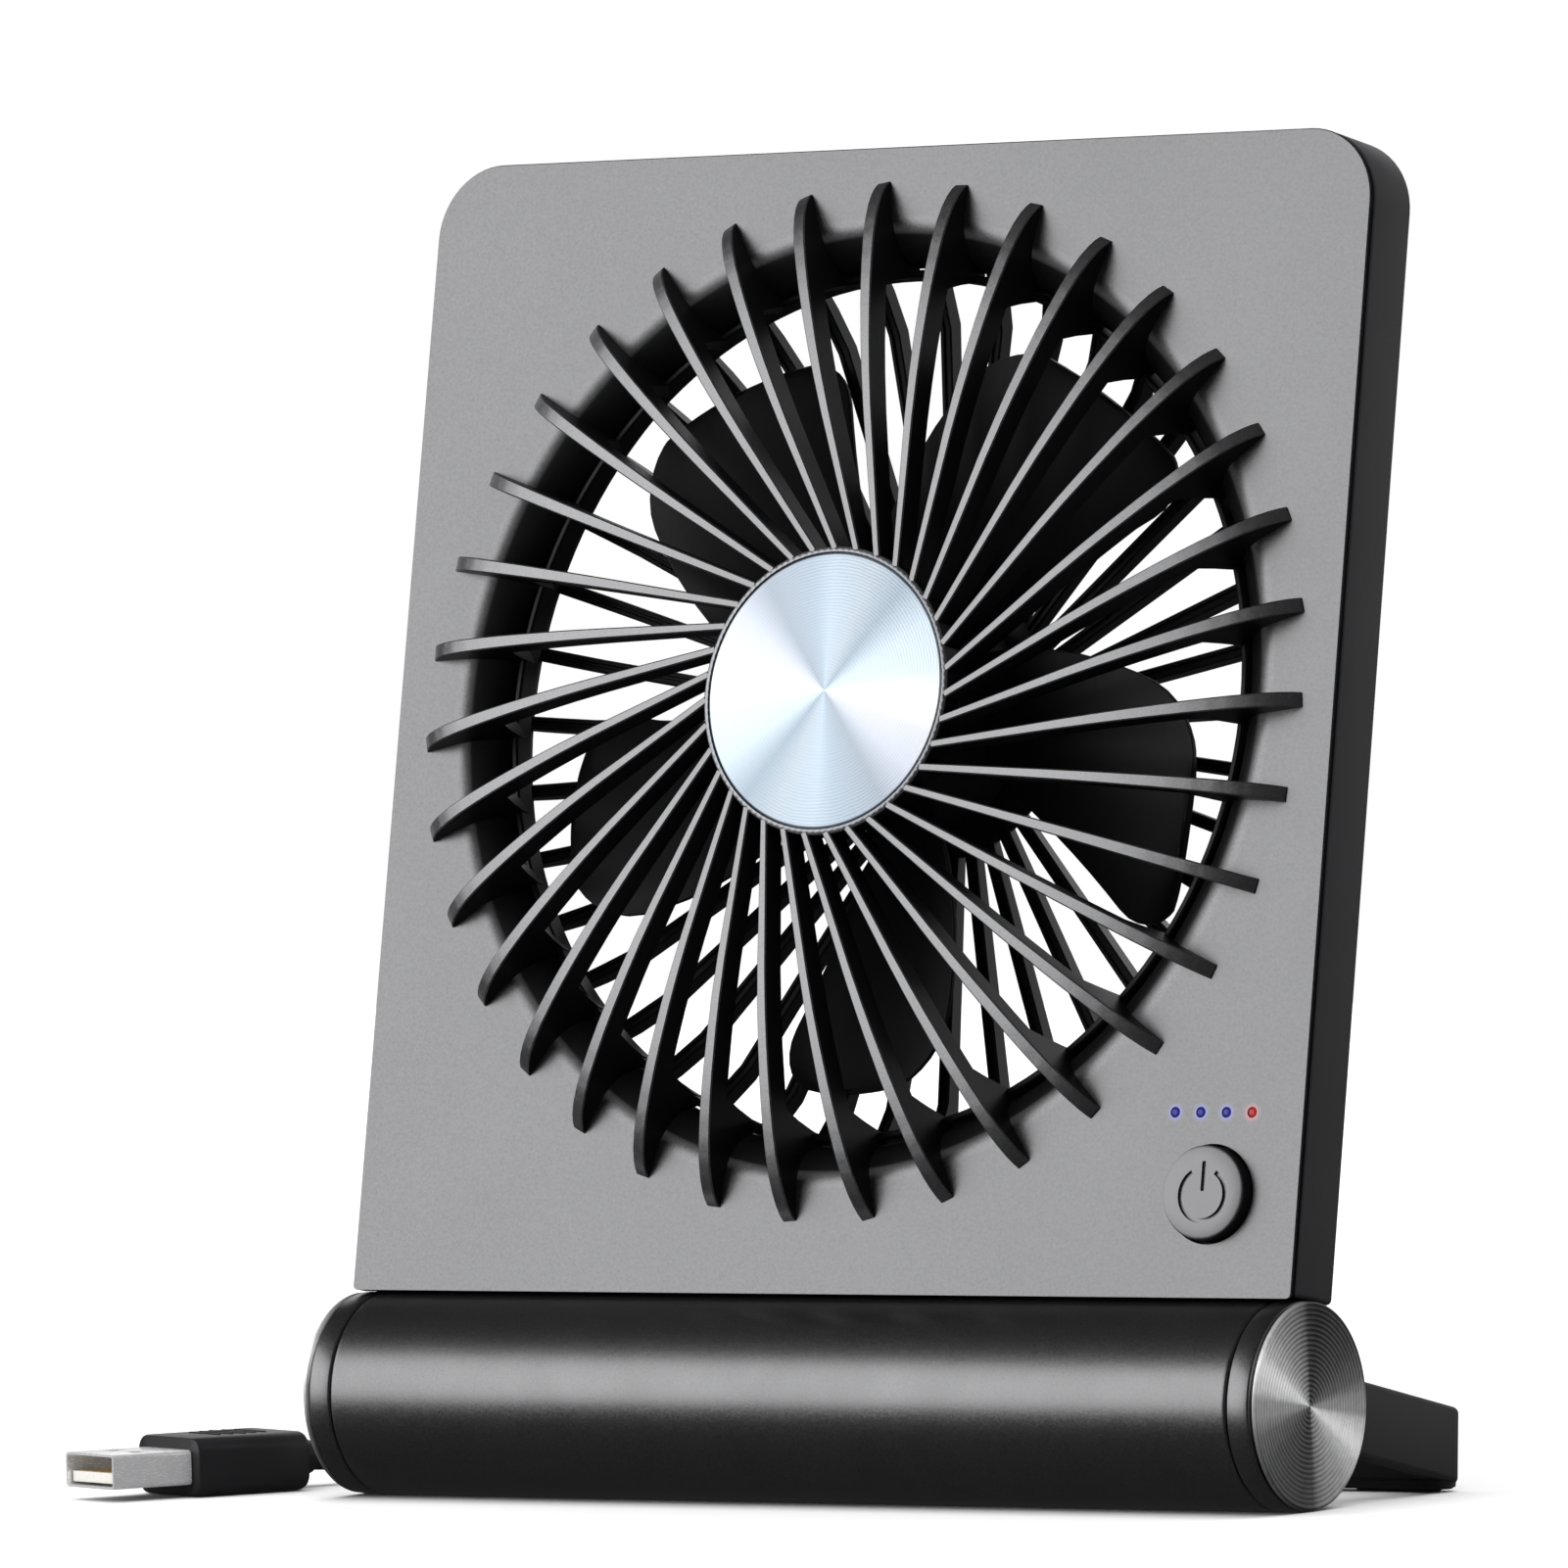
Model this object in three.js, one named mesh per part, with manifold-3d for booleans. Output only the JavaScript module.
// A folding, rechargeable desk fan: a thin square panel with a domed front grille, a round battery tube
// along its foot, a U-shaped stand that hinges on the tube's ends, and a USB charging lead.
// Millimetres, +Z up, +X to the fan's left-hand side as it faces you (-Y is the front).
import * as THREE from "three";
import { mergeVertices } from "three/addons/utils/BufferGeometryUtils.js";
import Module from "manifold-3d";

const wasm = await Module();
wasm.setup();

// ---------------------------------------------------------------- driving dimensions
const GAP = 0.3; // between pieces that touch, or run in each other
const FINE = 48; // facets round a large circle
const SMALL = 10; // facets round a small one

const TUBE_R = 13; // battery tube
const TUBE_WALL = 1.6;
const BASE_LENGTH = 144.4; // over both end discs

const PANEL_W = 142.6;
const PANEL_TOP = 159.6; // the panel's top edge, measured up the panel from the tube's axis
const PANEL_LEAN = THREE.MathUtils.degToRad(10.5);
const PANEL_CORNER = 9.5;
const PLATE_FRONT = 5.1; // the panel's front face, forward of the tube's axis
const PANEL_BACK = -4.55;
const PLATE_T = 1.6;
const SHELL_T = 1.8;
const PLATE_BOTTOM = 12.9;

const FAN_V = 88.4; // the fan's centre, up the panel
const MOUTH_R = 62.3; // where the front plate turns into the duct
const LIP_R = 5.8; // roundness of the duct's mouth
const LIP_T = 1.5;

const RIB_COUNT = 35;
const RIB_TIP_R = 66.6;
const RIB_OFFSET = 9; // the ribs are straight, and pass the centre at this distance
const RIB_TURN = THREE.MathUtils.degToRad(-19.7); // heading of the first rib, clockwise from the top
const RIB_T_ROOT = 1.0;
const RIB_T_TIP = 1.9;
const RIB_DEPTH = 3.5;
const HUB_R = 18.45;
const HUB_FRONT = 12.5;
const RIB_ROOT_R = HUB_R - 0.25;

const REAR_RIB_COUNT = 40;
const REAR_RIB_T = 1.6;
const REAR_HUB_R = 17.5;
const REAR_HUB_BACK = -17;
const REAR_HUB_T = 2.2;

const BLADE_COUNT = 5;
const BLADE_TIP_R = 49.5;
const BLADE_T = 1.4;
const BLADE_TURN = THREE.MathUtils.degToRad(-34); // middle of the first blade's tip, clockwise from the top
const ROTOR_R = 14.5;
const ROTOR_WALL = 1.4;
const ROTOR_FRONT = 4;
const ROTOR_BACK = -12;
const SHAFT_R = 1.5;

const BUTTON = { u: 58.4, v: 25.6, r: 5.9, front: 6.9 };
const BUTTON_TRAVEL = 0.5;
const LED = { u: 52.45, v: 35.8, pitch: 3.75, r: 0.6 };
const LED_COUNT = 4;

const RING_W = 3.2; // the stand's rings, along the tube
const DISC_T = 0.7;
const ARM_H = 9.4;
const BAR_T = 4; // the stand's cross bar, front to back
const STAND_REACH = 38.2; // the stand's furthest point behind the tube's axis
const STAND_DROP = THREE.MathUtils.degToRad(12.1); // the arms slope down to the foot
const ARM_RISE = 0.5; // the arms' middle passes this far above the hinge's axis
const FOOT_Z = 0.35; // the bar's underside, above the ground its pads stand on
const PIVOT_R = 4;

const CELL_R = 9.2; // an 18650 cell
const CELL_LENGTH = 65;
const SCREW_R = 1.1;
const SCREW_HEAD_R = 2.3;
const HOLE_R = SCREW_R + GAP;

const SOCKET = { u: -62.5, v: 48, w: 9, h: 3.2, wall: 0.3, front: 1.3 };
const CORD_R = 1.8;

// ---------------------------------------------------------------- values that follow from them
const HALF_W = PANEL_W / 2;
const PLATE_BACK = PLATE_FRONT - PLATE_T;
const SHELL_INSIDE = PANEL_BACK + SHELL_T;
const THROAT_R = MOUTH_R - LIP_R;
const LIP_W = PLATE_FRONT - LIP_R; // depth of the lip's centre of curvature
const DUCT_R = THROAT_R + 0.1;
const DUCT_REAR_R = DUCT_R + 1.6; // the duct opens out towards the rear grille
const DUCT_WALL = 1.6;
const HALF_BASE = BASE_LENGTH / 2;
const RING_OUT = HALF_BASE - DISC_T - GAP;
const RING_IN = RING_OUT - RING_W;
const TUBE_END = RING_IN - GAP;
const ORIGIN_Y = (STAND_REACH - TUBE_R) / 2; // puts the origin under the middle of the fan's box

// ---------------------------------------------------------------- solids
function toSolid(geometry) {
  const bare = geometry.clone();
  bare.deleteAttribute("normal");
  bare.deleteAttribute("uv");
  const merged = mergeVertices(bare, 1e-4);
  return new wasm.Manifold(
    new wasm.Mesh({
      numProp: 3,
      vertProperties: new Float32Array(merged.attributes.position.array),
      triVerts: new Uint32Array(merged.index.array),
    }),
  );
}

function toGeometry(solid) {
  const mesh = solid.getMesh();
  const geometry = new THREE.BufferGeometry();
  geometry.setAttribute("position", new THREE.BufferAttribute(mesh.vertProperties, 3));
  geometry.setIndex(new THREE.BufferAttribute(mesh.triVerts, 1));
  geometry.computeVertexNormals();
  return geometry;
}

function join(...shapes) {
  return toGeometry(shapes.map(toSolid).reduce((a, b) => a.add(b)));
}

function cut(shape, ...tools) {
  return toGeometry(tools.map(toSolid).reduce((a, b) => a.subtract(b), toSolid(shape)));
}

function common(a, b) {
  return toGeometry(toSolid(a).intersect(toSolid(b)));
}

function box(x0, x1, y0, y1, z0, z1) {
  const shape = new THREE.BoxGeometry(x1 - x0, y1 - y0, z1 - z0);
  return shape.translate((x0 + x1) / 2, (y0 + y1) / 2, (z0 + z1) / 2);
}

// A flat outline in x and y, given thickness from z0 to z1.
function slab(outline, z0, z1, curveSegments = 8) {
  const shape = new THREE.ExtrudeGeometry(outline, { depth: z1 - z0, bevelEnabled: false, curveSegments });
  return shape.translate(0, 0, z0);
}

// A closed outline of [radius, height] points turned round Z.
function turned(points, segments = FINE) {
  const area = points.reduce((sum, [r, h], i) => {
    const [r2, h2] = points[(i + 1) % points.length];
    return sum + r * h2 - r2 * h;
  }, 0);
  const ordered = area > 0 ? points : [...points].reverse();
  const profile = [...ordered, ordered[0]].map(([r, h]) => new THREE.Vector2(r, h));
  return new THREE.LatheGeometry(profile, segments).rotateX(Math.PI / 2);
}

function turnedAlongX(points, segments = FINE) {
  return turned(points, segments).rotateY(Math.PI / 2);
}

function disc(r, z0, z1, x = 0, y = 0, segments = SMALL) {
  const shape = new THREE.CylinderGeometry(r, r, z1 - z0, segments).rotateX(Math.PI / 2);
  return shape.translate(x, y, (z0 + z1) / 2);
}

function roundedRect(x0, y0, x1, y1, r) {
  const shape = new THREE.Shape();
  shape.moveTo(x0 + r, y0);
  shape.lineTo(x1 - r, y0);
  shape.absarc(x1 - r, y0 + r, r, -Math.PI / 2, 0);
  shape.lineTo(x1, y1 - r);
  shape.absarc(x1 - r, y1 - r, r, 0, Math.PI / 2);
  shape.lineTo(x0 + r, y1);
  shape.absarc(x0 + r, y1 - r, r, Math.PI / 2, Math.PI);
  shape.lineTo(x0, y0 + r);
  shape.absarc(x0 + r, y0 + r, r, Math.PI, Math.PI * 1.5);
  return shape;
}

// The panel's outline: large round corners at the top, square ones at the foot.
function panelOutline(halfWidth, bottom, top, corner) {
  const shape = new THREE.Shape();
  shape.moveTo(-halfWidth, bottom);
  shape.lineTo(halfWidth, bottom);
  shape.lineTo(halfWidth, top - corner);
  shape.absarc(halfWidth - corner, top - corner, corner, 0, Math.PI / 2);
  shape.lineTo(-halfWidth + corner, top);
  shape.absarc(-halfWidth + corner, top - corner, corner, Math.PI / 2, Math.PI);
  return shape;
}

function circleOf(radius, sides) {
  const points = [];
  for (let i = 0; i < sides; i++) {
    const a = ((i + 0.5) / sides) * 2 * Math.PI;
    points.push(new THREE.Vector2(radius * Math.cos(a), radius * Math.sin(a)));
  }
  return new THREE.Shape(points);
}

function lead(points, radius, sides, steps) {
  const path = new THREE.CatmullRomCurve3(points.map((p) => new THREE.Vector3(...p)), false, "centripetal");
  return new THREE.ExtrudeGeometry(
    circleOf(radius, sides),
    { steps, extrudePath: path, bevelEnabled: false },
  );
}

function screw(headR, headT, shankR, shankL) {
  return turned(
    [[0, -headT], [headR, -headT], [headR, 0], [shankR, 0], [shankR, shankL], [0, shankL]],
    SMALL,
  );
}

// ---------------------------------------------------------------- finishes
function finish(color, roughness, metalness) {
  return new THREE.MeshStandardMaterial({ color, roughness, metalness });
}

const GREY_PAINT = finish(0x949496, 0.5, 0.3);
const BLACK_SATIN = finish(0x1d1d1f, 0.4, 0.0);
const BLACK_PLASTIC = finish(0x141415, 0.5, 0.0);
const SPUN_METAL = finish(0xb9c3ce, 0.3, 1.0);
const END_METAL = finish(0x8c8c8e, 0.3, 1.0);
const STEEL = finish(0x9a9da0, 0.35, 1.0);
const RUBBER = finish(0x101011, 0.9, 0.0);
const BOARD_GREEN = finish(0x1f5a36, 0.6, 0.0);
const COPPER = finish(0x9c5a34, 0.5, 0.8);
const FERRITE = finish(0x3a3532, 0.7, 0.1);
const CELL_WRAP = finish(0x2f6fae, 0.4, 0.0);
const LED_BLUE = finish(0x2a35c8, 0.3, 0.0);
const LED_RED = finish(0xc83030, 0.3, 0.0);
const CREAM = finish(0xe9e6de, 0.5, 0.0);

const fan = new THREE.Group();
const head = new THREE.Group(); // the tube's axis is its X axis
head.position.set(0, -ORIGIN_Y, TUBE_R);
fan.add(head);
const panel = new THREE.Group(); // x across, y up the panel, z forward out of it
panel.rotation.x = Math.PI / 2 - PANEL_LEAN;
head.add(panel);

function piece(group, name, geometry, material) {
  const mesh = new THREE.Mesh(geometry, material);
  mesh.name = name;
  group.add(mesh);
  return mesh;
}

// ---------------------------------------------------------------- the panel's casings
const HOUSING_SCREWS = [[-63, PANEL_TOP - 8.6], [63, PANEL_TOP - 8.6], [-66, 58], [66, 58]];
const POST_R = 2.6;

function frontPlate() {
  const outline = panelOutline(HALF_W, PLATE_BOTTOM, PANEL_TOP, PANEL_CORNER);
  const mouth = disc(MOUTH_R + 0.1, PLATE_BACK - 1, PLATE_FRONT + 1, 0, FAN_V, FINE);
  const lip = [...lipArc(LIP_R, 4), ...lipArc(LIP_R - LIP_T, 2).reverse()];
  lip.push([MOUTH_R + 0.8, PLATE_BACK]);
  lip.push([MOUTH_R + 0.8, PLATE_FRONT]);
  const postBottom = SHELL_INSIDE + GAP;
  const posts = HOUSING_SCREWS.map(([u, v]) => disc(POST_R, postBottom, PLATE_BACK + 0.5, u, v));
  const pilots = HOUSING_SCREWS.map(([u, v]) => disc(HOLE_R, postBottom - 1, PLATE_BACK - 1, u, v));
  const leds = ledPlaces().map((u) => disc(LED.r + GAP, PLATE_BACK - 1, PLATE_FRONT + 1, u, LED.v, 8));
  const well = disc(BUTTON.r + GAP, PLATE_BACK - 1, PLATE_FRONT + 1, BUTTON.u, BUTTON.v, 24);
  const open = cut(slab(outline, PLATE_BACK, PLATE_FRONT), mouth, well, ...leds);
  return cut(join(open, turned(lip).translate(0, FAN_V, 0), ...posts), ...pilots);
}

// The duct's mouth, from the plate's face round to the throat, as [radius, height] points.
function lipArc(radius, steps) {
  return Array.from({ length: steps + 1 }, (_, i) => {
    const a = (i / steps) * (Math.PI / 2);
    return [MOUTH_R - radius * Math.sin(a), LIP_W + radius * Math.cos(a)];
  });
}

function ledPlaces() {
  return Array.from({ length: LED_COUNT }, (_, i) => LED.u + i * LED.pitch);
}

const NECK_SCREW_U = [-30, 30];
const LEAD_U = -47; // where the battery lead comes up out of the tube
const GRILLE_SCREW_R = DUCT_REAR_R + 3;
const GRILLE_SCREWS = [45, 135, 225, 315].map((deg) => {
  const a = THREE.MathUtils.degToRad(deg);
  return [GRILLE_SCREW_R * Math.sin(a), FAN_V + GRILLE_SCREW_R * Math.cos(a)];
});
const NECK_BOSS_TOP = 20;
const RING_NOTCH = TUBE_R + 1.2; // the panel's foot is cut back here, so that the stand's rings can turn

function rearHousing() {
  const low = TUBE_R - 2;
  const rimFront = PLATE_BACK - GAP;
  const shell = slab(panelOutline(HALF_W, low, PANEL_TOP, PANEL_CORNER), PANEL_BACK, rimFront);
  const inner = panelOutline(HALF_W - SHELL_T, TUBE_R + 2.2, PANEL_TOP - SHELL_T, PANEL_CORNER - SHELL_T);
  const cavity = slab(inner, SHELL_INSIDE, rimFront + 1);
  const tray = cut(shell, cavity);
  const duct = disc(DUCT_REAR_R + DUCT_WALL, PANEL_BACK, LIP_W - GAP, 0, FAN_V, FINE);
  const grilleBosses = GRILLE_SCREWS.map(([u, v]) => disc(2.3, PANEL_BACK, LIP_W - GAP, u, v));
  const neckBosses = NECK_SCREW_U.map(
    (u) => box(u - 3.2, u + 3.2, TUBE_R, NECK_BOSS_TOP, SHELL_INSIDE - 0.5, 2.6)
  );
  const whole = join(tray, duct, ...grilleBosses, ...neckBosses);
  const tube = turnedAlongX(
    [[0, -HALF_W - 1], [TUBE_R + GAP, -HALF_W - 1], [TUBE_R + GAP, HALF_W + 1], [0, HALF_W + 1]]
  );
  const notches = [-1, 1].map((side) => {
    const x = side * (RING_IN - 0.5);
    return box(Math.min(x, side * 80), Math.max(x, side * 80), low - 1, RING_NOTCH, PANEL_BACK - 1, 9);
  });
  const screwHoles = HOUSING_SCREWS.flatMap(([u, v]) => [
    disc(HOLE_R, PANEL_BACK - 1, 0, u, v),
    disc(SCREW_HEAD_R + GAP, PANEL_BACK - 1, PANEL_BACK + 1.1, u, v),
  ]);
  const grilleHoles = GRILLE_SCREWS.map(([u, v]) => disc(HOLE_R, PANEL_BACK - 1, 0.5, u, v));
  const neckHoles = NECK_SCREW_U.map((u) => neckHole(u, NECK_BOSS_TOP - 1));
  const leadHole = box(LEAD_U - 2.2, LEAD_U + 2.2, low - 1, TUBE_R + 4, -1.6, 1.6);
  const socketHole = slab(socketOutline(2 * GAP), PANEL_BACK - 1, 0, 2);
  const bore = turned([
    [0, PANEL_BACK - 1],
    [DUCT_REAR_R, PANEL_BACK - 1],
    [DUCT_REAR_R, PANEL_BACK],
    [DUCT_R, LIP_W - GAP],
    [DUCT_R, 9],
    [0, 9],
  ]).translate(0, FAN_V, 0);
  return cut(
    whole, bore, tube, ...notches, ...screwHoles, ...grilleHoles, ...neckHoles, leadHole,
    socketHole,
  );
}

function neckHole(u, top) {
  return disc(HOLE_R, -top, -(TUBE_R - TUBE_WALL - 2)).rotateX(Math.PI / 2).translate(u, 0, 0);
}

function socketOutline(grow) {
  const w = SOCKET.w / 2 + grow;
  const h = SOCKET.h / 2 + grow;
  return roundedRect(SOCKET.u - w, SOCKET.v - h, SOCKET.u + w, SOCKET.v + h, h * 0.9);
}

piece(panel, "front_plate", frontPlate(), GREY_PAINT);
piece(panel, "rear_housing", rearHousing(), BLACK_SATIN);
HOUSING_SCREWS.forEach(([u, v], i) => {
  const shape = screw(SCREW_HEAD_R, 0.8, SCREW_R, 5.2).translate(u, v, PANEL_BACK + 1.1 - GAP);
  piece(panel, `housing_screw_${i + 1}`, shape, STEEL);
});

// ---------------------------------------------------------------- front grille
const SEAT_R = THROAT_R - GAP; // the grille's seat ring stands in the duct's throat
const SEAT_T = 1.2;
const SEAT_BACK = LIP_W - 0.8;
const SEAT_FRONT = 1.4;
const alongRib = (r) => Math.sqrt(r * r - RIB_OFFSET * RIB_OFFSET);

// A rib's front edge, as [radius, height]: level, then falling ever faster to the plate.
const RIB_CREST = [
  [RIB_ROOT_R, HUB_FRONT],
  [38, HUB_FRONT],
  [46, HUB_FRONT - 0.6],
  [52, HUB_FRONT - 1.4],
  [57, HUB_FRONT - 2.35],
  [61, HUB_FRONT - 3.55],
  [64.4, HUB_FRONT - 5.1],
  [RIB_TIP_R, PLATE_FRONT + GAP + 0.2],
];

function ribOutline() {
  const shape = new THREE.Shape();
  RIB_CREST.forEach(([r, w], i) => {
    if (i === 0) shape.moveTo(alongRib(r), w);
    else shape.lineTo(alongRib(r), w);
  });
  shape.lineTo(alongRib(RIB_TIP_R), PLATE_FRONT + GAP);
  lipArc(LIP_R + GAP + 0.3, 3).forEach(([r, w]) => shape.lineTo(alongRib(r), Math.max(w, LIP_W)));
  shape.lineTo(alongRib(SEAT_R - SEAT_T + 0.2), LIP_W);
  shape.lineTo(alongRib(SEAT_R - SEAT_T + 0.2), SEAT_FRONT);
  shape.lineTo(alongRib(50), HUB_FRONT - RIB_DEPTH - 1);
  shape.lineTo(alongRib(RIB_ROOT_R), HUB_FRONT - RIB_DEPTH);
  return shape;
}

function rib(heading) {
  const shape = slab(ribOutline(), -0.5, 0.5);
  const place = shape.getAttribute("position");
  const s0 = alongRib(RIB_ROOT_R);
  const s1 = alongRib(RIB_TIP_R);
  for (let i = 0; i < place.count; i++) {
    const share = (place.getX(i) - s0) / (s1 - s0);
    place.setZ(i, place.getZ(i) * THREE.MathUtils.lerp(RIB_T_ROOT, RIB_T_TIP, share));
  }
  const along = new THREE.Vector3(Math.sin(heading), Math.cos(heading), 0);
  const side = new THREE.Vector3(Math.cos(heading), -Math.sin(heading), 0);
  const matrix = new THREE.Matrix4().makeBasis(along, new THREE.Vector3(0, 0, 1), side);
  matrix.setPosition(side.x * RIB_OFFSET, side.y * RIB_OFFSET + FAN_V, 0);
  return shape.applyMatrix4(matrix);
}

function frontGrille() {
  const back = HUB_FRONT - RIB_DEPTH;
  const hub = turned([
    [0, back],
    [HUB_R, back],
    [HUB_R, HUB_FRONT - 0.05],
    [HUB_R - 0.45, HUB_FRONT - 0.05],
    [HUB_R - 0.45, HUB_FRONT - 0.9],
    [0, HUB_FRONT - 0.9],
  ]);
  const inner = SEAT_R - SEAT_T;
  const seat = turned([[inner, SEAT_BACK], [SEAT_R, SEAT_BACK], [SEAT_R, SEAT_FRONT], [inner, SEAT_FRONT]]);
  const ribs = Array.from({ length: RIB_COUNT }, (_, i) => rib(RIB_TURN + (i * 2 * Math.PI) / RIB_COUNT));
  return join(hub.translate(0, FAN_V, 0), seat.translate(0, FAN_V, 0), ...ribs);
}

piece(panel, "front_grille", frontGrille(), GREY_PAINT);
const discR = HUB_R - 0.45 - GAP;
const hubDisc = disc(discR, HUB_FRONT - 0.9 + GAP, HUB_FRONT, 0, FAN_V, FINE);
piece(panel, "hub_disc", hubDisc, SPUN_METAL);

// ---------------------------------------------------------------- rear grille
const FLANGE_R = GRILLE_SCREW_R + 3;
const FLANGE_FRONT = PANEL_BACK - GAP;
const FLANGE_BACK = FLANGE_FRONT - 1.7;

function rearRib(angle) {
  const front = REAR_HUB_BACK + REAR_HUB_T;
  const shape = new THREE.Shape([
    new THREE.Vector2(REAR_HUB_R - 1, front),
    new THREE.Vector2(REAR_HUB_R - 1, REAR_HUB_BACK),
    new THREE.Vector2(51.5, -11.2),
    new THREE.Vector2(DUCT_REAR_R + 1, FLANGE_BACK + 0.4),
    new THREE.Vector2(DUCT_REAR_R + 1, FLANGE_FRONT - 0.4),
    new THREE.Vector2(56.6, FLANGE_FRONT - 0.4),
    new THREE.Vector2(50.3, -8.9),
  ]);
  const blade = slab(shape, -REAR_RIB_T / 2, REAR_RIB_T / 2);
  return blade.rotateX(Math.PI / 2).rotateZ(Math.PI / 2 - angle);
}

function rearGrille() {
  const ring = turned([
    [DUCT_REAR_R, FLANGE_BACK],
    [FLANGE_R, FLANGE_BACK],
    [FLANGE_R, FLANGE_FRONT],
    [DUCT_REAR_R, FLANGE_FRONT],
  ]);
  const hub = disc(REAR_HUB_R, REAR_HUB_BACK, REAR_HUB_BACK + REAR_HUB_T, 0, 0, FINE);
  const ribs = Array.from(
    { length: REAR_RIB_COUNT },
    (_, i) => rearRib(((i - 0.05) * 2 * Math.PI) / REAR_RIB_COUNT),
  );
  const whole = join(ring, hub, ...ribs).translate(0, FAN_V, 0);
  const holes = GRILLE_SCREWS.map(([u, v]) => disc(HOLE_R, FLANGE_BACK - 1, FLANGE_FRONT + 0.2, u, v));
  return cut(whole, ...holes);
}

piece(panel, "rear_grille", rearGrille(), BLACK_PLASTIC);
GRILLE_SCREWS.forEach(([u, v], i) => {
  const shape = screw(SCREW_HEAD_R, 1.1, SCREW_R, 5.2).translate(u, v, FLANGE_BACK - GAP);
  piece(panel, `grille_screw_${i + 1}`, shape, STEEL);
});

// ---------------------------------------------------------------- motor and impeller
const MOTOR_SEAT = REAR_HUB_BACK + REAR_HUB_T + GAP;
const MAGNET_OUT = ROTOR_R - ROTOR_WALL - GAP;
const MAGNET_T = 1.2;
const STATOR_R = MAGNET_OUT - MAGNET_T - 0.6;
const SLEEVE_OUT = 3;
const POST_OUT = 4.2;
const STATOR_BACK = -9.5;
const STATOR_FRONT = -3;

function motorBracket() {
  return turned([
    [SLEEVE_OUT + GAP, MOTOR_SEAT],
    [13, MOTOR_SEAT],
    [13, MOTOR_SEAT + 1.3],
    [POST_OUT, MOTOR_SEAT + 1.3],
    [POST_OUT, STATOR_FRONT + 1],
    [SLEEVE_OUT + GAP, STATOR_FRONT + 1],
  ], 24).translate(0, FAN_V, 0);
}

function stator() {
  const poles = 9;
  const core = disc(STATOR_R - 3.6, STATOR_BACK, STATOR_FRONT, 0, 0, 18);
  const arms = Array.from({ length: poles }, (_, i) => {
    const turn = (i * 2 * Math.PI) / poles;
    return box(0, STATOR_R - 0.8, -1.6, 1.6, STATOR_BACK, STATOR_FRONT).rotateZ(turn);
  });
  const bore = disc(POST_OUT + GAP + 0.1, STATOR_BACK - 1, STATOR_FRONT + 1, 0, 0, 18);
  return cut(join(core, ...arms), bore).translate(0, FAN_V, 0);
}

// Half of a blade's angular width, and how far its middle lies behind the tip's, at each radius.
function bladeSpread(r) {
  const share = (r - ROTOR_R) / (BLADE_TIP_R - ROTOR_R);
  const half = THREE.MathUtils.degToRad(27 - 9 * share);
  const corner = 7;
  const inCorner = Math.max(0, (r - (BLADE_TIP_R - corner)) / corner);
  const rounding = (corner * (1 - Math.sqrt(1 - inCorner * inCorner))) / r;
  return { half: half - rounding, lag: THREE.MathUtils.degToRad(-16 * (1 - share)) };
}

// A blade is a twisted sheet: across it, the depth falls evenly from its leading edge to its trailing edge.
function blade(turn) {
  const radii = [ROTOR_R - 0.8, 22, 32, 42.5, 46.4, 48.6, BLADE_TIP_R - 0.05];
  const across = 4;
  const front = 1.8;
  const back = -7.4;
  const points = [];
  for (const side of [1, -1]) {
    for (const r of radii) {
      const { half, lag } = bladeSpread(Math.max(r, ROTOR_R));
      for (let j = 0; j <= across; j++) {
        const share = j / across;
        const a = turn + lag + (2 * share - 1) * half;
        const w = THREE.MathUtils.lerp(
          front,
          back,
          0.5 + (share - 0.5) * (half / bladeSpread(ROTOR_R).half) ** 0.2,
        );
        points.push(r * Math.sin(a), r * Math.cos(a), w + (side * BLADE_T) / 2);
      }
    }
  }
  const row = across + 1;
  const sheet = radii.length * row;
  const faces = [];
  const quad = (a, b, c, d) => faces.push(a, c, b, a, d, c);
  for (let i = 0; i + 1 < radii.length; i++) {
    for (let j = 0; j < across; j++) {
      const a = i * row + j;
      quad(a, a + row, a + row + 1, a + 1);
      quad(sheet + a, sheet + a + 1, sheet + a + row + 1, sheet + a + row);
    }
    const left = i * row;
    const right = i * row + across;
    quad(left, sheet + left, sheet + left + row, left + row);
    quad(right, right + row, sheet + right + row, sheet + right);
  }
  const last = (radii.length - 1) * row;
  for (let j = 0; j < across; j++) {
    quad(j, j + 1, sheet + j + 1, sheet + j);
    quad(last + j, sheet + last + j, sheet + last + j + 1, last + j + 1);
  }
  const geometry = new THREE.BufferGeometry();
  geometry.setAttribute("position", new THREE.Float32BufferAttribute(points, 3));
  geometry.setIndex(faces);
  return geometry;
}

function impeller() {
  const inside = ROTOR_R - ROTOR_WALL;
  const cup = turned([
    [0, ROTOR_FRONT],
    [ROTOR_R - 1.5, ROTOR_FRONT],
    [ROTOR_R, ROTOR_FRONT - 1.5],
    [ROTOR_R, ROTOR_BACK],
    [inside, ROTOR_BACK],
    [inside, ROTOR_FRONT - 1.5],
    [0, ROTOR_FRONT - 1.5],
  ], 36);
  const boss = turned([
    [SHAFT_R + GAP, 0],
    [3.4, 0],
    [3.4, ROTOR_FRONT - 1.3],
    [SHAFT_R + GAP, ROTOR_FRONT - 1.3],
  ], 12);
  const blades = Array.from(
    { length: BLADE_COUNT },
    (_, i) => blade(BLADE_TURN + (i * 2 * Math.PI) / BLADE_COUNT),
  );
  const hollow = disc(inside, ROTOR_BACK - 1, ROTOR_FRONT - 2, 0, 0, 36);
  const bladesOutside = cut(join(...blades), hollow);
  return join(cup, boss, bladesOutside).translate(0, FAN_V, 0);
}

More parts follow.
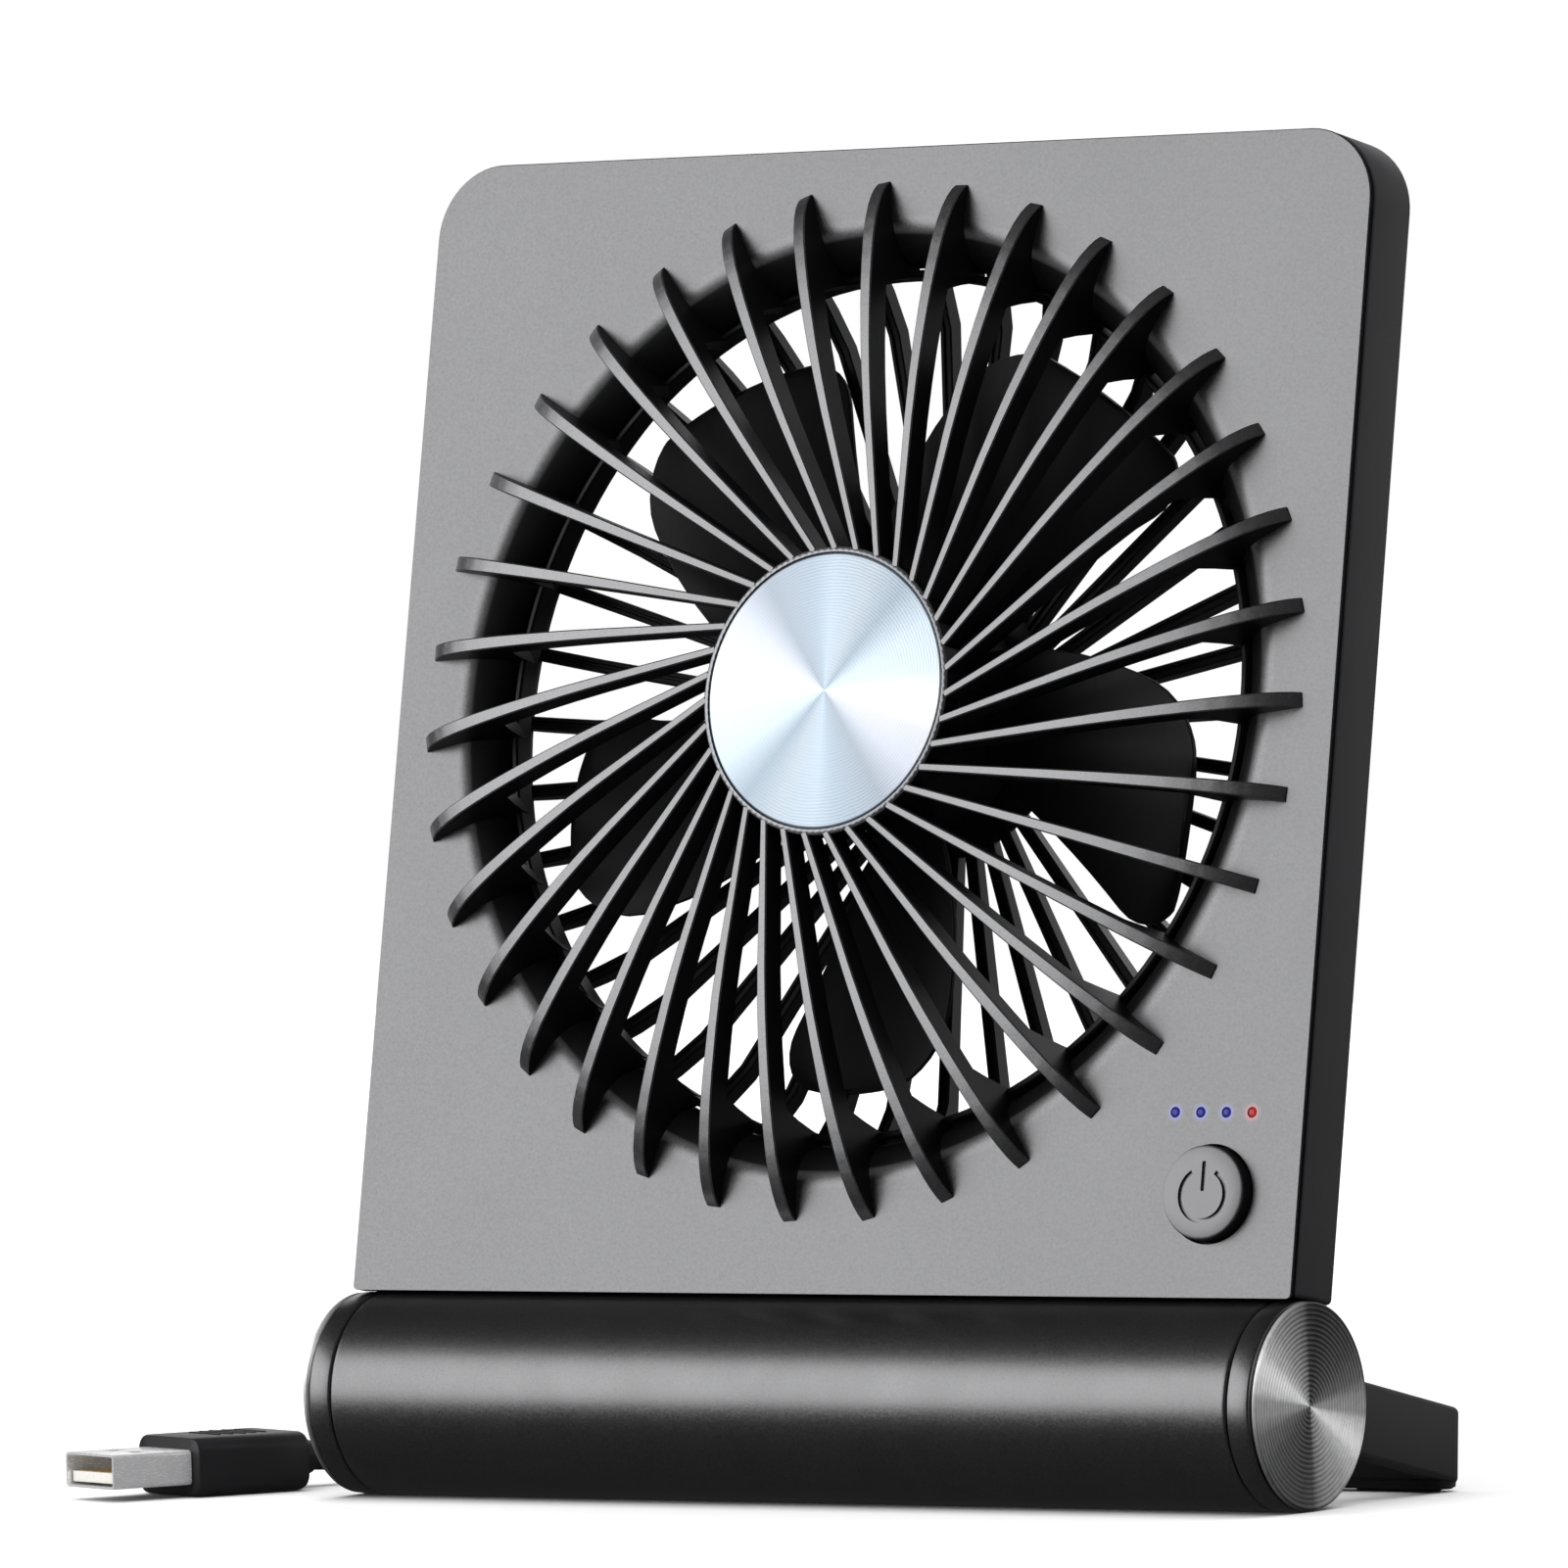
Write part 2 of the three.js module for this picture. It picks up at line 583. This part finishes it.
piece(panel, "motor_bracket", motorBracket(), STEEL);
piece(panel, "motor_stator", stator(), COPPER);
const sleeve = [
  [SHAFT_R + GAP, MOTOR_SEAT], [SLEEVE_OUT, MOTOR_SEAT], [SLEEVE_OUT, -1], [SHAFT_R + GAP, -1],
];
piece(panel, "bearing_sleeve", turned(sleeve, 12).translate(0, FAN_V, 0), COPPER);
piece(panel, "impeller", impeller(), BLACK_PLASTIC);
const magnet = [
  [MAGNET_OUT - MAGNET_T, -10.5], [MAGNET_OUT, -10.5], [MAGNET_OUT, -1.6],
  [MAGNET_OUT - MAGNET_T, -1.6],
];
piece(panel, "rotor_magnet", turned(magnet, 24).translate(0, FAN_V, 0), FERRITE);
piece(panel, "motor_shaft", disc(SHAFT_R, MOTOR_SEAT + GAP, ROTOR_FRONT - 1.5 - GAP, 0, FAN_V, 12), STEEL);

// ---------------------------------------------------------------- button, lights and boards
const BOARD = { u0: 47, u1: 68, v0: 17, v1: 42, w0: -2.3, w1: -1.1 };
const SWITCH_TOP = 2;

function powerSymbol() {
  const outer = BUTTON.r * 0.6;
  const inner = outer - 0.55;
  const open = THREE.MathUtils.degToRad(33);
  const arc = new THREE.Shape();
  arc.absarc(0, -0.3, outer, Math.PI / 2 + open, Math.PI / 2 - open + 2 * Math.PI);
  arc.absarc(0, -0.3, inner, Math.PI / 2 - open, Math.PI / 2 + open - 2 * Math.PI, true);
  const ring = slab(arc, -0.4, 1, 9);
  const bar = box(-0.27, 0.27, 0.2, outer + 0.4, -0.4, 1);
  return [ring, bar].map((shape) => shape.translate(BUTTON.u, BUTTON.v, BUTTON.front));
}

function powerButton() {
  const flangeTop = PLATE_BACK - GAP;
  const flangeBack = SWITCH_TOP + BUTTON_TRAVEL + 0.15;
  const cap = turned([
    [0, flangeBack],
    [BUTTON.r + 1, flangeBack],
    [BUTTON.r + 1, flangeTop],
    [BUTTON.r, flangeTop],
    [BUTTON.r, BUTTON.front - 0.3],
    [BUTTON.r - 0.3, BUTTON.front],
    [0, BUTTON.front],
  ], 24);
  return cut(cap.translate(BUTTON.u, BUTTON.v, 0), ...powerSymbol());
}

piece(panel, "power_button", powerButton(), GREY_PAINT);
piece(panel, "control_board", box(BOARD.u0, BOARD.u1, BOARD.v0, BOARD.v1, BOARD.w0, BOARD.w1), BOARD_GREEN);
const onBoard = BOARD.w1 + GAP;
const switchBody = box(BUTTON.u - 3, BUTTON.u + 3, BUTTON.v - 3, BUTTON.v + 3, onBoard, SWITCH_TOP - 0.5);
const plunger = disc(1.7, SWITCH_TOP - 0.7, SWITCH_TOP, BUTTON.u, BUTTON.v);
piece(panel, "tact_switch", join(switchBody, plunger), BLACK_PLASTIC);
ledPlaces().forEach((u, i) => {
  const profile = [
    [0, onBoard], [1.2, onBoard], [1.2, 1], [LED.r, 1], [LED.r, PLATE_FRONT - 0.1],
    [0, PLATE_FRONT - 0.1],
  ];
  const light = turned(profile, 8).translate(u, LED.v, 0);
  piece(panel, `led_${i + 1}`, light, i + 1 < LED_COUNT ? LED_BLUE : LED_RED);
});

const CHARGE_BOARD = { u0: -69, u1: -56, v0: SOCKET.v - 6, v1: SOCKET.v + 6.2 };
const chargeBoardBack = SOCKET.front + GAP;
const chargeBoard = box(
  CHARGE_BOARD.u0, CHARGE_BOARD.u1, CHARGE_BOARD.v0, CHARGE_BOARD.v1, chargeBoardBack,
  chargeBoardBack + 1,
);
piece(panel, "charging_board", chargeBoard, BOARD_GREEN);
const socketBack = PANEL_BACK + 0.2;
const socketHollow = slab(socketOutline(-SOCKET.wall), socketBack - 1, SOCKET.front - 0.8, 2);
const socketBody = slab(socketOutline(0), socketBack, SOCKET.front, 2);
piece(panel, "charging_socket", cut(socketBody, socketHollow), STEEL);

// ---------------------------------------------------------------- battery tube and hinge
const TUBE_BORE = TUBE_R - TUBE_WALL;
const PLUG_INNER = TUBE_END - 1.6;

function baseTube() {
  const outline = [[TUBE_BORE, -TUBE_END], [TUBE_R, -TUBE_END], [TUBE_R, TUBE_END], [TUBE_BORE, TUBE_END]];
  const wall = turnedAlongX(outline);
  const holes = NECK_SCREW_U.map((u) => neckHole(u, TUBE_R + 1).rotateX(Math.PI / 2 - PANEL_LEAN));
  const slot = box(LEAD_U - 2, LEAD_U + 2, -1.4, 1.4, TUBE_BORE - 2, TUBE_R + 1).rotateX(-PANEL_LEAN);
  return cut(wall, ...holes, slot);
}

function endPlug(side) {
  const r = TUBE_BORE - GAP;
  const stubEnd = RING_OUT - 1.4;
  const outline = [
    [1 + GAP, PLUG_INNER],
    [r, PLUG_INNER],
    [r, TUBE_END],
    [PIVOT_R, TUBE_END],
    [PIVOT_R, stubEnd],
    [1 + GAP, stubEnd],
  ].map(([radius, x]) => [radius, side * x]);
  return turnedAlongX(outline, 24);
}

function frictionWasher(side) {
  const inner = PIVOT_R + GAP;
  const outline = [
    [inner, TUBE_END + GAP], [8, TUBE_END + GAP], [8, TUBE_END + 0.9], [inner, TUBE_END + 0.9],
  ];
  return turnedAlongX(outline.map(([r, x]) => [r, side * x]), 24);
}

function pivotScrew(side) {
  const seat = RING_OUT - 1.1;
  const outline = [
    [0, PLUG_INNER + GAP], [1, PLUG_INNER + GAP], [1, seat], [5, seat], [5, seat + 0.9],
    [0, seat + 0.9],
  ];
  return turnedAlongX(outline.map(([r, x]) => [r, side * x]), 12);
}

piece(head, "base_tube", baseTube(), BLACK_SATIN);
const cellStart = -CELL_LENGTH + 0.4;
[1, 2].forEach((number) => {
  const x = cellStart + (number - 1) * (CELL_LENGTH + GAP);
  const outline = [[0, x], [CELL_R, x], [CELL_R, x + CELL_LENGTH], [0, x + CELL_LENGTH]];
  piece(head, `battery_cell_${number}`, turnedAlongX(outline, 24), CELL_WRAP);
});
const boardEnd = cellStart - GAP;
const protection = turnedAlongX(
  [[0, boardEnd - 0.8], [CELL_R - 0.3, boardEnd - 0.8], [CELL_R - 0.3, boardEnd], [0, boardEnd]],
  24,
);
piece(head, "protection_board", protection, BOARD_GREEN);
[["left", -1], ["right", 1]].forEach(([name, side]) => {
  piece(head, `end_plug_${name}`, endPlug(side), BLACK_PLASTIC);
  piece(head, `friction_washer_${name}`, frictionWasher(side), STEEL);
  piece(head, `pivot_screw_${name}`, pivotScrew(side), STEEL);
});
NECK_SCREW_U.forEach((u, i) => {
  const shape = screw(SCREW_HEAD_R - 0.2, 1, SCREW_R, 7.6).rotateX(-Math.PI / 2);
  piece(panel, `neck_screw_${i + 1}`, shape.translate(u, TUBE_BORE - 0.6, 0), STEEL);
});

// ---------------------------------------------------------------- stand
const stand = new THREE.Group(); // x across, y along the arms, z square to them
stand.rotation.x = -STAND_DROP;
head.add(stand);

// A point of the side view, from its place behind the tube's axis and its height above the ground.
function onStand(y, z) {
  const rise = z - TUBE_R;
  const c = Math.cos(STAND_DROP);
  const s = Math.sin(STAND_DROP);
  return [y * c - rise * s, y * s + rise * c];
}

function standBracket() {
  const low = ARM_RISE - ARM_H / 2;
  const high = ARM_RISE + ARM_H / 2;
  const corner = 3;
  const endBottom = STAND_REACH - 0.7;
  const [reach] = onStand(endBottom, FOOT_Z);
  const barFront = STAND_REACH - BAR_T;
  const plan = new THREE.Shape();
  plan.moveTo(-RING_OUT, 0);
  plan.absarc(-RING_OUT + corner, reach - corner, corner, Math.PI, Math.PI / 2, true);
  plan.absarc(RING_OUT - corner, reach - corner, corner, Math.PI / 2, 0, true);
  plan.lineTo(RING_OUT, 0);
  plan.lineTo(RING_IN, 0);
  plan.lineTo(RING_IN, barFront - 1.5);
  plan.lineTo(RING_IN - 1.5, barFront);
  plan.lineTo(-RING_IN + 1.5, barFront);
  plan.lineTo(-RING_IN, barFront - 1.5);
  plan.lineTo(-RING_IN, 0);
  const topHeight = TUBE_R + (high - STAND_REACH * Math.sin(STAND_DROP)) / Math.cos(STAND_DROP);
  const top = onStand(STAND_REACH, topHeight);
  const footFront = onStand(STAND_REACH - 4.6, FOOT_Z);
  const side = new THREE.Shape([
    new THREE.Vector2(-2, low),
    new THREE.Vector2(footFront[0] - 1.2, low),
    new THREE.Vector2(...footFront),
    new THREE.Vector2(...onStand(endBottom - 0.8, FOOT_Z)),
    new THREE.Vector2(...onStand(endBottom + 0.04, FOOT_Z + 0.8)),
    new THREE.Vector2(...onStand(STAND_REACH - 0.04, topHeight - 0.8)),
    new THREE.Vector2(top[0] - 0.9, high),
    new THREE.Vector2(-2, high),
  ]);
  // In x, y and z: the side view stands up along x.
  const sideSlab = slab(side, -HALF_BASE, HALF_BASE).rotateX(Math.PI / 2).rotateZ(Math.PI / 2);
  const frame = common(slab(plan, -12, 12), sideSlab);
  const fillet = 3;
  const filletS = Math.sqrt((TUBE_R + fillet) ** 2 - (high + fillet) ** 2);
  const filletAngle = Math.atan2(high + fillet, filletS);
  const web = new THREE.Shape();
  web.moveTo(9, high - 1);
  web.lineTo(TUBE_R * Math.cos(filletAngle) - 0.2, TUBE_R * Math.sin(filletAngle));
  web.absarc(filletS, high + fillet, fillet, Math.PI + filletAngle, Math.PI * 1.5);
  web.lineTo(filletS, high - 1);
  const webs = [-1, 1].map((sign) => {
    const [x0, x1] = [Math.min(sign * RING_IN, sign * RING_OUT), Math.max(sign * RING_IN, sign * RING_OUT)];
    return slab(web, x0, x1, 3).rotateX(Math.PI / 2).rotateZ(Math.PI / 2);
  });
  const rings = [-1, 1].map((sign) =>
    turnedAlongX(
      [[0, sign * RING_IN], [TUBE_R, sign * RING_IN], [TUBE_R, sign * RING_OUT], [0, sign * RING_OUT]]
    ),
  );
  const bores = [-1, 1].flatMap((sign) => [
    turnedAlongX(
      [
        [0, sign * (RING_IN - 1)], [PIVOT_R + GAP, sign * (RING_IN - 1)],
        [PIVOT_R + GAP, sign * 80], [0, sign * 80],
      ],
      32,
    ),
    turnedAlongX(
      [
        [0, sign * (RING_IN - 1)], [8.3, sign * (RING_IN - 1)], [8.3, sign * (RING_IN + 0.9)],
        [0, sign * (RING_IN + 0.9)],
      ],
      32,
    ),
    turnedAlongX(
      [[0, sign * (RING_OUT - 1.4)], [5.4, sign * (RING_OUT - 1.4)], [5.4, sign * 80], [0, sign * 80]],
      32,
    ),
  ]);
  const pockets = padBoxes(GAP).map((shape) => shape.rotateX(STAND_DROP));
  return cut(join(frame, ...webs, ...rings), ...bores, ...pockets);
}

// The foot pads' boxes in the tube's frame, grown on every side but the floor's.
function padBoxes(grow) {
  return [-1, 1].map((sign) => {
    const x = sign * (HALF_BASE - 9.7);
    const back = STAND_REACH - 1.5;
    return box(
      x - 6 - grow, x + 6 + grow, back - 2.4 - grow, back + grow, -TUBE_R - (grow ? 2 : 0),
      -TUBE_R + 1.1 + grow,
    );
  });
}

piece(stand, "stand_bracket", standBracket(), BLACK_SATIN);
padBoxes(0).forEach((shape, i) => {
  piece(head, `foot_pad_${["left", "right"][i]}`, shape, RUBBER);
});
[["left", -1], ["right", 1]].forEach(([name, side]) => {
  const r = TUBE_R - 0.1;
  const inner = RING_OUT + GAP;
  const outline = [[0, inner], [r, inner], [r, HALF_BASE - 0.2], [r - 0.25, HALF_BASE], [0, HALF_BASE]];
  piece(
    head,
    `end_disc_${name}`,
    turnedAlongX(outline.map(([radius, x]) => [radius, side * x])),
    END_METAL,
  );
});

// ---------------------------------------------------------------- internal leads
const LEAD_R = 0.6;
const LEAD_V = (CELL_R + TUBE_BORE) / 2;
const batteryLead = [
  [-62, LEAD_V, 0],
  [-54, LEAD_V, 0],
  [LEAD_U - 2, LEAD_V + 0.1, 0],
  [LEAD_U, TUBE_R + 0.5, 0],
  [LEAD_U - 1, TUBE_R + 5, 0],
  [-56, 24, 0.3],
  [-62.5, 34, 1.4],
  [-63.5, CHARGE_BOARD.v0 - 3, 2.1],
  [-63.5, CHARGE_BOARD.v0 - GAP, 2.1],
];
piece(panel, "battery_lead", lead(batteryLead, LEAD_R, 4, 18), LED_RED);
const boardLead = [
  [CHARGE_BOARD.u1 - 2, CHARGE_BOARD.v0 - GAP, 2.1],
  [CHARGE_BOARD.u1 - 2, CHARGE_BOARD.v0 - 4, 2.1],
  [-50, 29, 1.6],
  [-36, 23.5, 1.2],
  [0, 22.5, 0],
  [30, 22.5, -0.6],
  [BOARD.u0 - 6, 23, -1.7],
  [BOARD.u0 - GAP, 23, -1.7],
];
piece(panel, "board_lead", lead(boardLead, LEAD_R, 4, 16), CREAM);

// ---------------------------------------------------------------- charging lead
// The plug in the fan's back: x across, y up, z forward, from the socket's mouth.
const charge = new THREE.Group();
charge.position.set(SOCKET.u, SOCKET.v, 0);
panel.add(charge);
const PLUG_FRONT = PANEL_BACK - 0.4;
const PLUG_LENGTH = 14;
const RELIEF_LENGTH = 8;
const tipW = SOCKET.w / 2 - SOCKET.wall - GAP;
const tipH = SOCKET.h / 2 - SOCKET.wall - GAP;
const tip = slab(
  roundedRect(-tipW, -tipH, tipW, tipH, tipH * 0.9),
  PLUG_FRONT + GAP,
  SOCKET.front - 0.8 - GAP,
  2,
);
piece(charge, "charge_plug_tip", tip, STEEL);
const chargeBody = slab(roundedRect(-5.6, -3.1, 5.6, 3.1, 2.2), PLUG_FRONT - PLUG_LENGTH, PLUG_FRONT, 3);
piece(charge, "charge_plug_body", chargeBody, BLACK_PLASTIC);
const reliefStart = PLUG_FRONT - PLUG_LENGTH - GAP;
const reliefProfile = [
  [0, reliefStart], [2.8, reliefStart], [2.15, reliefStart - RELIEF_LENGTH],
  [0, reliefStart - RELIEF_LENGTH],
];
piece(charge, "charge_relief", turned(reliefProfile, SMALL), BLACK_PLASTIC);

const CORD_SIDES = 8;
const COIL = { x: -45, y: 67.4, inner: 16.4, outer: 23.6, lift: 0.75, layers: 2 };
const coilTop = COIL.lift + COIL.layers * 2 * CORD_R;

function coilRing(grow) {
  const inner = COIL.inner - CORD_R - grow;
  const outer = COIL.outer + CORD_R + grow;
  const ring = turned([
    [inner, COIL.lift - grow],
    [outer, COIL.lift - grow],
    [outer, coilTop + grow],
    [inner, coilTop + grow],
  ], 32);
  return ring.translate(COIL.x, COIL.y, 0);
}

// From the charging plug down to the ground behind the fan, and into the coil's lower layer.
const DROP_POINTS = [
  [-62.5, 23.5, 55.1],
  [-62.5, 30.2, 53.8],
  [-62.7, 36.9, 51.2],
  [-63.2, 42.8, 46.4],
  [-64.0, 47.0, 39.6],
  [-64.8, 49.5, 31.0],
  [-65.6, 50.9, 22.0],
  [-66.4, 52.4, 13.6],
  [-67.2, 55.4, 7.0],
  [-67.9, 60.2, 3.4],
  [-68.5, 66.2, 2.6],
];
// From the coil's upper layer forwards past the fan's side to the USB plug.
const RUN_POINTS = [
  [-46.0, 43.8, 6.1],
  [-52.0, 43.8, 5.7],
  [-59.0, 43.4, 3.6],
  [-66.0, 41.9, 2.1],
  [-72.6, 38.6, 1.9],
  [-78.0, 33.4, 1.9],
  [-81.4, 26.6, 1.9],
  [-82.9, 19.2, 1.9],
  [-83.3, 12.4, 1.9],
  [-84.1, 6.6, 2.4],
  [-85.8, 1.7, 3.5],
  [-87.7, -2.9, 3.9],
];
piece(fan, "cord_drop", cut(lead(DROP_POINTS, CORD_R, CORD_SIDES, 16), coilRing(GAP)), BLACK_PLASTIC);
piece(fan, "cord_coil", coilRing(0), BLACK_PLASTIC);
piece(fan, "cord_run", cut(lead(RUN_POINTS, CORD_R, CORD_SIDES, 18), coilRing(GAP)), BLACK_PLASTIC);

function cordTie() {
  const t = 0.4;
  const x0 = COIL.x + COIL.inner - CORD_R - GAP;
  const x1 = COIL.x + COIL.outer + CORD_R + GAP;
  const z0 = COIL.lift - GAP;
  const z1 = coilTop + GAP;
  const outer = box(x0 - t, x1 + t, COIL.y - 2, COIL.y + 2, z0 - t, z1 + t);
  return cut(outer, box(x0, x1, COIL.y - 3, COIL.y + 3, z0, z1));
}
piece(fan, "cord_tie", cordTie(), RUBBER);

// The USB-A plug lying on the ground: x across, y up, z towards the plug's tip.
const usb = new THREE.Group();
usb.position.set(-87.8, -3.2, 3.9);
usb.rotation.order = "ZXY";
usb.rotation.set(Math.PI / 2, 0, THREE.MathUtils.degToRad(-22.4));
fan.add(usb);
const USB = { bodyW: 15.5, bodyH: 7.6, bodyL: 17, shellW: 12, shellH: 4.5, shellL: 11.7, relief: 4 };
const usbRelief = [[0, 0], [2.2, 0], [2.8, USB.relief], [0, USB.relief]];
piece(usb, "usb_relief", turned(usbRelief, SMALL), BLACK_PLASTIC);
const usbBodyStart = USB.relief + GAP;
const usbOutline = roundedRect(-USB.bodyW / 2, -USB.bodyH / 2, USB.bodyW / 2, USB.bodyH / 2, 1.4);
piece(usb, "usb_plug_body", slab(usbOutline, usbBodyStart, usbBodyStart + USB.bodyL, 4), BLACK_PLASTIC);
const shellStart = usbBodyStart + USB.bodyL + GAP;

function usbShell() {
  const [w, h, wall] = [USB.shellW / 2, USB.shellH / 2, 0.35];
  const outer = slab(roundedRect(-w, -h, w, h, 0.5), shellStart, shellStart + USB.shellL, 3);
  const hollow = box(
    -w + wall, w - wall, -h + wall, h - wall, shellStart + 0.6, shellStart + USB.shellL + 1,
  );
  const windows = [-1, 1].map((side) => {
    const x = side * 2.8;
    return box(x - 1.15, x + 1.15, -h - 1, h + 1, shellStart + 5.2, shellStart + 7.5);
  });
  return cut(outer, hollow, ...windows);
}
piece(usb, "usb_plug_shell", usbShell(), STEEL);
const tongueStart = shellStart + 0.6 + GAP;
const tongueH = USB.shellH / 2 - 0.35 - GAP;
const tongue = box(
  -USB.shellW / 2 + 0.7, USB.shellW / 2 - 0.7, -tongueH, -0.2, tongueStart,
  shellStart + USB.shellL - 0.6,
);
piece(usb, "usb_tongue", tongue, CREAM);

export default fan;
